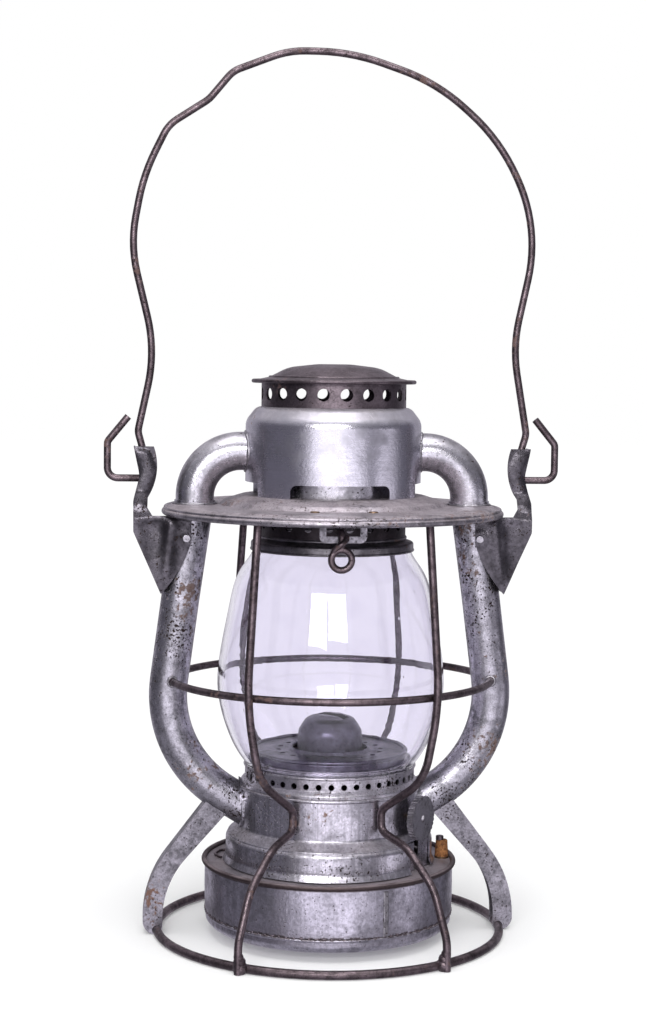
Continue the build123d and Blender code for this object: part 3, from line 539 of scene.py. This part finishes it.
def elbow_mouth(side, count=56):
    """Where an elbow's tube runs into the round canopy."""
    points = []
    for step in range(count):
        angle = 2 * math.pi * step / count
        y = (PIPE_RADIUS + 0.2 * MM) * math.sin(angle)
        z = (PIPE_RADIUS + 0.2 * MM) * math.cos(angle)
        points.append(Vector((side * math.sqrt(CANOPY_RADIUS**2 - y**2), y, ELBOW_HEIGHT + z)))
    return points


def side_solder():
    """Solder at each elbow's two ends and each side tube's head, and lips at the hoop ends."""
    upright = (0, 0, 1)
    for side, word in ((-1, "left"), (1, "right")):
        mouth = bmesh.new()
        add_bead(mouth, elbow_mouth(side), 0.75 * MM, closed=True, lumps=0.6)
        piece(f"elbow_solder_{word}", mouth, "solder", "frame")

        foot = bmesh.new()
        centre = (side * TUBE_TOP_X, 0.0, ELBOW_LOW[2] + 0.2 * MM)
        foot_ring = circle_points(centre, upright, PIPE_RADIUS + 0.8 * MM)
        add_bead(foot, foot_ring, 0.7 * MM, closed=True, lumps=0.6)
        piece(f"elbow_foot_solder_{word}", foot, "solder", "frame")

        head = bmesh.new()
        centre = (side * (TUBE_TOP_X + 0.4 * MM), 0.0, PLATE_UNDERSIDE - 0.5 * MM)
        head_ring = circle_points(centre, upright, PIPE_RADIUS + 0.1 * MM)
        add_bead(head, head_ring, 0.8 * MM, closed=True, lumps=0.7)
        piece(f"tube_head_solder_{word}", head, "solder", "frame")

        # lips pressed up round the ends of the guard hoops
        lips = bmesh.new()
        for depth in (-1, 1):
            centre = (side * HOOP_END[0], depth * HOOP_END[1], HOOP_HEIGHT)
            axis = (side * HOOP_END_AXIS[0], -depth * HOOP_END_AXIS[1], 0.0)
            lip = circle_points(centre, axis, HOOP_WIRE_RADIUS + 0.4 * MM, 24)
            add_bead(lips, lip, 0.8 * MM, closed=True, lumps=0.5)
        piece(f"hoop_lips_{word}", lips, "solder", "frame")


def guard_head_solder():
    """Solder where the four guard wires meet the plate."""
    heads = bmesh.new()
    height = PLATE_UNDERSIDE - 0.4 * MM
    for azimuth in GUARD_HEAD_AZIMUTHS:
        turn = math.radians(azimuth)
        centre = (GUARD_HEAD_RADIUS * math.sin(turn), -GUARD_HEAD_RADIUS * math.cos(turn), height)
        add_bead(heads, circle_points(centre, (0, 0, 1), 2.2 * MM, 20), 0.8 * MM, closed=True, lumps=0.6)
    piece("guard_head_solder", heads, "solder", "frame")


def fount_wall_radius(height):
    """Outside radius of the slightly barrelled fount wall, in metres."""
    return (60.82 - 0.0023 * (height / MM - 23.5) ** 2) * MM


def fount_seam():
    """Lapped upright seam of the fount wall: a thin strip with rolled edges."""
    low, high = 11.0 * MM, 33.4 * MM
    profile = ((-1.4, -0.10), (-1.1, 0.07), (-0.5, 0.10), (0.6, 0.09), (1.0, 0.05), (1.4, -0.10))
    mesh = bmesh.new()
    rows = []
    for step in range(21):
        height = low + (high - low) * step / 20
        row = []
        for across, proud in profile:
            radius = fount_wall_radius(height) + proud * MM
            turn = math.radians(FOUNT_SEAM_AZIMUTH) + across * MM / radius
            row.append(mesh.verts.new((radius * math.sin(turn), -radius * math.cos(turn), height)))
        rows.append(row)
    for row, above in zip(rows, rows[1:]):
        for column in range(len(profile) - 1):
            mesh.faces.new((row[column], row[column + 1], above[column + 1], above[column]))
        mesh.faces.new((row[-1], row[0], above[0], above[-1]))
    mesh.faces.new(reversed(rows[0]))
    mesh.faces.new(rows[-1])
    piece("fount_seam", mesh, "solder", "fount")


def fount_crimps():
    """Short raised crimps round the bottom seam of the fount."""
    mesh = bmesh.new()
    radius = FOUNT_CRIMP_RADIUS
    for step in range(FOUNT_CRIMPS):
        length = (1.1 + 0.8 * noise.noise((step * 1.7, 0.3, 0.0))) * MM
        turn = 2 * math.pi * step / FOUNT_CRIMPS
        points = []
        for offset in (-1.0, -0.4, 0.4, 1.0):
            angle = turn + offset * length / radius
            points.append(Vector((radius * math.sin(angle), -radius * math.cos(angle), FOUNT_SEAM)))
        add_bead(mesh, points, 0.36 * MM, sides=8)
    piece("fount_crimps", mesh, "dark", "fount")


def lift_eye_twist():
    """Wire end of the lift eye, laid once across its neck."""
    low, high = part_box("lift_eye")
    start_x = low[0] + (high[0] - low[0]) / 2
    start_y = low[1] + 1.6 * MM
    # corners of the wire's path, in millimetres from the eye's lowest point
    corners = (
        (-4.2, 0.0, 9.0),
        (-3.0, -1.0, 11.4),
        (-0.4, -2.2, 13.6),
        (1.9, -1.0, 15.6),
        (2.3, 0.2, 17.4),
    )
    path = [Vector((start_x + x * MM, start_y + y * MM, low[2] + z * MM)) for x, y, z in corners]
    smooth = []
    for index in range(len(path) - 1):
        before = path[max(index - 1, 0)]
        after = path[min(index + 2, len(path) - 1)]
        start, end = path[index], path[index + 1]
        for step in range(6):
            t = step / 6
            bow = 0.5 * t * (1 - t)
            leg = start.lerp(end, t)
            smooth.append(leg + bow * ((start - before) * (1 - t) - (after - end) * t) * 0.5)
    smooth.append(path[-1])
    mesh = bmesh.new()
    add_bead(mesh, smooth, 1.35 * MM, sides=12)
    piece("lift_eye_twist", mesh, "wire", "dome")


def fade(value, low, high):
    """Smooth step from 0 at low to 1 at high."""
    t = min(max((value - low) / (high - low), 0.0), 1.0)
    return t * t * (3.0 - 2.0 * t)


def ear_relief(x, z):
    """How far forward (mm) an ear's sheet is pressed at x, z, both in mm, x outwards."""
    # the wing: a ridge from its top down to its tip, a shallow dish outside it, a boss at the rivet
    wing = 1.0 - fade(z, 200.0, EAR_WAIST_HEIGHT)
    off_ridge = x - (81.5 - 0.10 * (z - EAR_TIP_HEIGHT))
    ridge = 1.1 * math.exp(-((off_ridge / 3.0) ** 2)) * fade(z, EAR_TIP_HEIGHT, 180.0)
    dish = 0.9 * fade(off_ridge, 0.5, 7.0) * (1.0 - fade(x, 87.0, 95.0)) * fade(z, 172.0, 190.0)
    boss = 0.35 * (1.0 - fade(math.dist((x, z), EAR_RIVET), 3.6, 4.8))
    # the tab: rounded across, with its middle leaning in and out again
    tab = fade(z, 206.0, 211.0) * (1.0 - fade(z, 234.0, 237.0))
    tab_x = 89.4 + 3.4 * fade(abs(z - 225.5), 0.0, 12.5)
    crown = 1.1 * max(0.0, 1.0 - ((x - tab_x) / 4.4) ** 2)
    return wing * (ridge - dish + boss) + tab * crown


def pressed_ear(word):
    """Detailed ear: the frame's own ear cut into a fine grid and pressed into relief."""
    mesh = bmesh.new()
    mesh.from_mesh(nodes[f"ear_{word}"].data)
    low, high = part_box(f"ear_{word}")
    for axis, spacing in ((0, 0.9 * MM), (2, 1.2 * MM)):
        normal = [0.0, 0.0, 0.0]
        normal[axis] = 1.0
        for step in range(1, int((high[axis] - low[axis]) / spacing)):
            point = [0.0, 0.0, 0.0]
            point[axis] = low[axis] + step * spacing
            everything = mesh.verts[:] + mesh.edges[:] + mesh.faces[:]
            bmesh.ops.bisect_plane(mesh, geom=everything, dist=1e-7, plane_co=point, plane_no=normal)
    for vertex in mesh.verts:
        x, y, z = (value / MM for value in vertex.co)
        # only the front sheet is pressed, not the web or the wing behind the tube
        sheet_back = -8.6 if z < EAR_WAIST_HEIGHT else -2.6
        front = 1.0 - fade(y, sheet_back, sheet_back + 1.0)
        vertex.co.y -= front * ear_relief(abs(x), z) * MM
    made = piece(f"pressed_ear_{word}", mesh, "ear", "frame")
    made.data.set_sharp_from_angle(angle=math.radians(35.0))
    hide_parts(f"ear_{word}")


side_solder()
guard_head_solder()
fount_seam()
fount_crimps()
lift_eye_twist()
for word in ("left", "right"):
    pressed_ear(word)

# ---------------------------------------------------------------- floor
corners = [(x * FLOOR_REACH, y * FLOOR_REACH, 0.0) for x, y in ((-1, -1), (1, -1), (1, 1), (-1, 1))]
floor_mesh = bpy.data.meshes.new("floor")
floor_mesh.from_pydata(corners, [], [(0, 1, 2, 3)])
floor_mesh.materials.append(floor_material())
floor = bpy.data.objects.new("floor", floor_mesh)
floor.visible_glossy = False
bpy.context.scene.collection.objects.link(floor)

# ---------------------------------------------------------------- light
LIGHT_DISTANCE = 1.8
CAMERA_AZIMUTH = 5.5             # degrees from the front towards -X


def softbox(name, azimuth, elevation, size, radiance):
    """Rectangular lamp aimed at the lantern; azimuth in degrees from the front towards -X."""
    light = bpy.data.lights.new(name, "AREA")
    light.shape = "RECTANGLE"
    light.size, light.size_y = size
    light.energy = radiance * math.pi * size[0] * size[1]
    lamp = bpy.data.objects.new(name, light)
    turn = math.radians(azimuth)
    lift = math.radians(elevation)
    level = math.cos(lift)
    direction = Vector((-math.sin(turn) * level, -math.cos(turn) * level, math.sin(lift)))
    lamp.location = Vector((0.0, 0.0, 0.18)) + LIGHT_DISTANCE * direction
    lamp.rotation_euler = direction.to_track_quat("Z", "Y").to_euler()
    lamp.visible_camera = False
    bpy.context.scene.collection.objects.link(lamp)


softbox("window_left", CAMERA_AZIMUTH + 14.5, 19.9, (0.55, 0.51), 9.5)
softbox("window_right", CAMERA_AZIMUTH - 6.5, 20.5, (0.62, 0.48), 7.5)
softbox("front_fill", CAMERA_AZIMUTH + 3.0, 10.0, (1.6, 1.1), 0.35)
softbox("top", 0.0, 78.0, (1.5, 1.5), 3.1)

world = bpy.data.worlds.new("studio")
bpy.context.scene.world = world
world.use_nodes = True
tree = world.node_tree


def world_link(output, socket):
    tree.links.new(output, socket)


def world_background(colour, strength):
    made = tree.nodes.new("ShaderNodeBackground")
    made.inputs["Color"].default_value = (*colour, 1.0)
    made.inputs["Strength"].default_value = strength
    return made


# the room seen in the metal is dim, darkest at the sides and lighter above and below
seen = world_background((1.0, 1.0, 1.0), 1.0)
shone = world_background((1.0, 1.0, 1.0), 0.62)
reflected = world_background((0.5, 0.5, 0.5), 1.0)
direction = tree.nodes.new("ShaderNodeTexCoord")
parts = tree.nodes.new("ShaderNodeSeparateXYZ")
ramp = tree.nodes.new("ShaderNodeValToRGB")
world_link(direction.outputs["Generated"], parts.inputs[0])
rescale = tree.nodes.new("ShaderNodeMapRange")
world_link(parts.outputs[2], rescale.inputs["Value"])
rescale.inputs["From Min"].default_value = -1.0
world_link(rescale.outputs["Result"], ramp.inputs["Fac"])
stops = ramp.color_ramp.elements
stops[0].position = 0.15
stops[0].color = (0.42, 0.41, 0.46, 1.0)
stops[1].position = 0.90
stops[1].color = (0.62, 0.61, 0.66, 1.0)
for position, grey in ((0.40, 0.13), (0.60, 0.13)):
    stop = stops.new(position)
    stop.color = (grey, 0.965 * grey, 1.22 * grey, 1.0)


def world_range(value, low, high):
    made = tree.nodes.new("ShaderNodeMapRange")
    made.interpolation_type = "SMOOTHSTEP"
    world_link(value, made.inputs["Value"])
    made.inputs["From Min"].default_value = low
    made.inputs["From Max"].default_value = high
    return made.outputs["Result"]


def world_product(first, second):
    made = tree.nodes.new("ShaderNodeMath")
    made.operation = "MULTIPLY"
    world_link(first, made.inputs[0])
    world_link(second, made.inputs[1])
    return made.outputs[0]


def world_patch(factor, under, colour):
    """Lay a patch of one colour over the room."""
    made = tree.nodes.new("ShaderNodeMix")
    made.data_type = "RGBA"
    world_link(factor, made.inputs["Factor"])
    world_link(under, made.inputs[6])
    made.inputs[7].default_value = (*colour, 1.0)
    return made.outputs[2]


# a grey backdrop behind, a lit strip of floor in front, and a narrower glow to the right
east, north, up = parts.outputs
low_down = world_range(up, 0.10, -0.06)
ahead = world_product(world_range(north, -0.66, -0.96), low_down)
beside = world_product(world_range(east, 0.70, 0.84), world_range(north, 0.0, -0.25))
room = world_patch(world_range(north, 0.50, 0.64), ramp.outputs["Color"], (0.46, 0.44, 0.50))
room = world_patch(ahead, room, (1.60, 1.56, 1.70))
room = world_patch(world_product(beside, low_down), room, (0.95, 0.92, 1.02))
world_link(room, reflected.inputs["Color"])

path = tree.nodes.new("ShaderNodeLightPath")
mirror_rays = tree.nodes.new("ShaderNodeMath")
mirror_rays.operation = "SUBTRACT"
mirror_rays.use_clamp = True
world_link(path.outputs["Is Glossy Ray"], mirror_rays.inputs[0])
world_link(path.outputs["Is Transmission Ray"], mirror_rays.inputs[1])
by_diffuse = tree.nodes.new("ShaderNodeMixShader")
world_link(path.outputs["Is Diffuse Ray"], by_diffuse.inputs[0])
world_link(seen.outputs[0], by_diffuse.inputs[1])
world_link(shone.outputs[0], by_diffuse.inputs[2])
by_mirror = tree.nodes.new("ShaderNodeMixShader")
world_link(mirror_rays.outputs[0], by_mirror.inputs[0])
world_link(by_diffuse.outputs[0], by_mirror.inputs[1])
world_link(reflected.outputs[0], by_mirror.inputs[2])
world_link(by_mirror.outputs[0], tree.nodes["World Output"].inputs[0])

# ---------------------------------------------------------------- camera
camera_data = bpy.data.cameras.new("camera")
camera_data.lens = 72.62
camera_data.sensor_width = 36.0
camera = bpy.data.objects.new("camera", camera_data)
camera.matrix_world = (
    Matrix.Translation((-0.0965, -0.9953, 0.2789))
    @ Matrix.Rotation(math.radians(-5.287), 4, "Z")
    @ Matrix.Rotation(math.radians(90 - 4.169), 4, "X")
    @ Matrix.Rotation(math.radians(0.659), 4, "Z")
)
bpy.context.scene.collection.objects.link(camera)
bpy.context.scene.camera = camera
bpy.context.scene.view_settings.view_transform = "Standard"
